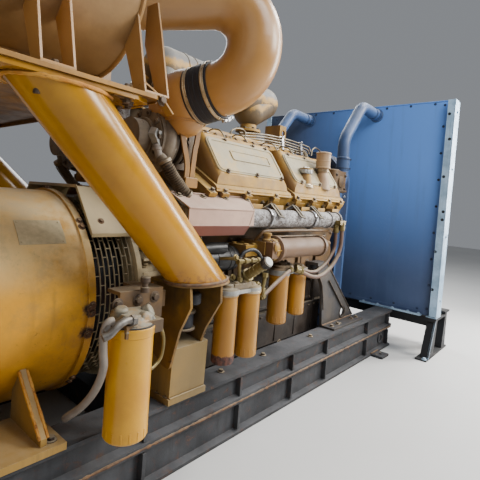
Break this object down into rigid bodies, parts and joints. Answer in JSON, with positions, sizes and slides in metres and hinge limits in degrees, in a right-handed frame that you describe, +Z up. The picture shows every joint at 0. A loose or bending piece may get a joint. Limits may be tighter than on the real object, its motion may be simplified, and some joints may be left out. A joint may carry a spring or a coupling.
{
  "type": "diesel generator set",
  "caption": "Skid-mounted V-engine generating set with a barrel generator, air cleaners on a leg platform, spin-on filters and an upright radiator.",
  "frame": {"origin": "centre of the footprint at floor level, under the crankshaft line", "axes": "+X from the generator to the radiator, +Y to the engine's left side, +Z up"},
  "size_m": [4.1, 1.716, 1.945],
  "materials": {
    "rail_paint": "old dark paint under dust and oil",
    "machine_yellow": "aged machinery yellow enamel, stained",
    "galvanised": "dull galvanised sheet",
    "beige_sheet": "dusty beige sheet paint",
    "dusty_casting": "dusty painted casting",
    "brown_casting": "oily brown-yellow casting",
    "engine_gold": "dusty gold engine paint",
    "scaled_iron": "heat-scaled grey iron",
    "shield_sheet": "pinkish dusty sheet",
    "duct_paint": "tan-yellow duct paint",
    "black_rubber": "smooth black rubber",
    "filter_yellow": "filter can enamel",
    "olive_brass": "dull olive brass",
    "black_knob": "black knob with a pale cap",
    "breather_tan": "dusty brown paint",
    "radiator_navy": "dark blue sheet paint",
    "core_black": "black paint"
  },
  "bodies": {
    "set": {"aftercooler_housing": "engine_gold", "air_cleaner_platform": "machine_yellow", "air_cleaner_straps": "duct_paint", "air_cleaners": "duct_paint", "auxiliary_filter": "filter_yellow", "auxiliary_filter_bracket": "brown_casting", "base_rail_left": "rail_paint", "base_rail_right": "rail_paint", "breather": "breather_tan", "coolant_pipes": "radiator_navy", "cross_members": "rail_paint", "crossover_pipe": "duct_paint", "cylinder_heads": "engine_gold", "engine_block": "brown_casting", "exhaust_manifolds": "scaled_iron", "exhaust_outlet": "scaled_iron", "fan_guard": "core_black", "filter_heads": "brown_casting", "flywheel_housing": "dusty_casting", "front_cover": "brown_casting", "front_supports": "brown_casting", "generator_barrel": "machine_yellow", "generator_end_housing": "machine_yellow", "guard_hood": "beige_sheet", "heat_shields": "shield_sheet", "intake_ducts": "duct_paint", "intake_elbows": "duct_paint", "leg_brackets": "machine_yellow", "lifting_bracket": "engine_gold", "machine_feet": "machine_yellow", "oil_cooler": "brown_casting", "oil_filler": "engine_gold", "oil_pan": "brown_casting", "platform_legs": "machine_yellow", "primer_pump": "olive_brass", "radiator_core": "core_black", "radiator_feet": "core_black", "radiator_guard": "radiator_navy", "radiator_panel": "radiator_navy", "radiator_shroud": "radiator_navy", "radiator_side_channels": "galvanised", "radiator_tanks": "radiator_navy", "rubber_sleeves": "black_rubber", "spin_on_filters": "filter_yellow", "starter_motor": "core_black", "terminal_box": "machine_yellow", "thermostat_housings": "brown_casting", "turbochargers": "scaled_iron", "valve_covers": "engine_gold", "vent_grille": "galvanised"},
    "plunger": {"primer_plunger": "black_knob"}
  },
  "joints": [
    {"name": "primer_stroke", "type": "slide", "parent": "set", "child": "plunger", "axis": [-0.04, -0.8252, 0.5634], "range_m": [0, 0.024]}
  ]
}
